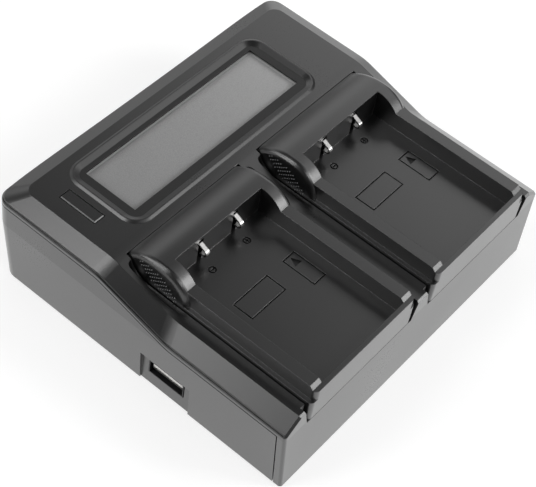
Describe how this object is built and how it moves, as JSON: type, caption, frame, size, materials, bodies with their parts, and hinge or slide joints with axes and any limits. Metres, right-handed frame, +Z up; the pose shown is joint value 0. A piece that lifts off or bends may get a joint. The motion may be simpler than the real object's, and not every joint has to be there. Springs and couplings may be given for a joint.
{
  "type": "camera battery charger",
  "caption": "Low desktop charger for camera batteries: stepped case with a display panel and button behind lift-off battery plates that carry hooded spring contacts.",
  "frame": {"origin": "on the table, under the middle of the case's length and depth", "axes": "+X along the front to the right, +Y from the front to the rear, +Z up"},
  "size_m": [0.124, 0.111, 0.0413],
  "materials": {
    "case_plastic": "satin",
    "plate_plastic": "satin",
    "button_plastic": "satin",
    "window": "gloss",
    "lcd": "gloss",
    "diffuser": "matt",
    "board": "satin",
    "black_plastic": "matt",
    "white_plastic": "satin",
    "pale_ribbon": "satin",
    "contact_metal": "polished",
    "brass": "satin",
    "steel": "satin",
    "aluminium_can": "satin",
    "foot_rubber": "matt"
  },
  "bodies": {
    "case": {"top_cover": "case_plastic", "base_tray": "case_plastic", "left_bay_blades": "brass", "right_bay_blades": "brass", "left_blade_holder": "black_plastic", "right_blade_holder": "black_plastic", "display_window": "window", "lcd_panel": "lcd", "lcd_backlight": "diffuser", "display_board": "board", "display_screws": "steel", "button_switch": "black_plastic", "main_board": "board", "board_screws": "steel", "usb_shell": "steel", "usb_tongue": "white_plastic", "dc_jack": "black_plastic", "dc_jack_pin": "brass", "inductors": "black_plastic", "capacitors": "aluminium_can", "control_chips": "black_plastic", "ribbon_cable": "pale_ribbon", "ribbon_sockets": "white_plastic", "case_screws": "steel", "rubber_feet": "foot_rubber"},
    "button": {"mode_button": "button_plastic", "switch_plunger": "white_plastic"},
    "left_plate": {"left_plate": "plate_plastic"},
    "right_plate": {"right_plate": "plate_plastic"},
    "left_plate_left_contact": {"left_plate_left_contact": "contact_metal"},
    "left_plate_right_contact": {"left_plate_right_contact": "contact_metal"},
    "right_plate_left_contact": {"right_plate_left_contact": "contact_metal"},
    "right_plate_right_contact": {"right_plate_right_contact": "contact_metal"}
  },
  "joints": [
    {"name": "button_press", "type": "slide", "parent": "case", "child": "button", "axis": [0, 0, -1], "range_m": [0, 0.0005], "stiffness_N_per_m": 800},
    {"name": "left_plate_lift", "type": "slide", "parent": "case", "child": "left_plate", "axis": [0, 0, 1], "range_m": [0, 0.016]},
    {"name": "right_plate_lift", "type": "slide", "parent": "case", "child": "right_plate", "axis": [0, 0, 1], "range_m": [0, 0.016]},
    {"name": "left_plate_left_contact_flex", "type": "slide", "parent": "left_plate", "child": "left_plate_left_contact", "axis": [0, 1, 0], "range_m": [0, 0.0006], "stiffness_N_per_m": 1500},
    {"name": "left_plate_right_contact_flex", "type": "slide", "parent": "left_plate", "child": "left_plate_right_contact", "axis": [0, 1, 0], "range_m": [0, 0.0006], "stiffness_N_per_m": 1500},
    {"name": "right_plate_left_contact_flex", "type": "slide", "parent": "right_plate", "child": "right_plate_left_contact", "axis": [0, 1, 0], "range_m": [0, 0.0006], "stiffness_N_per_m": 1500},
    {"name": "right_plate_right_contact_flex", "type": "slide", "parent": "right_plate", "child": "right_plate_right_contact", "axis": [0, 1, 0], "range_m": [0, 0.0006], "stiffness_N_per_m": 1500}
  ]
}
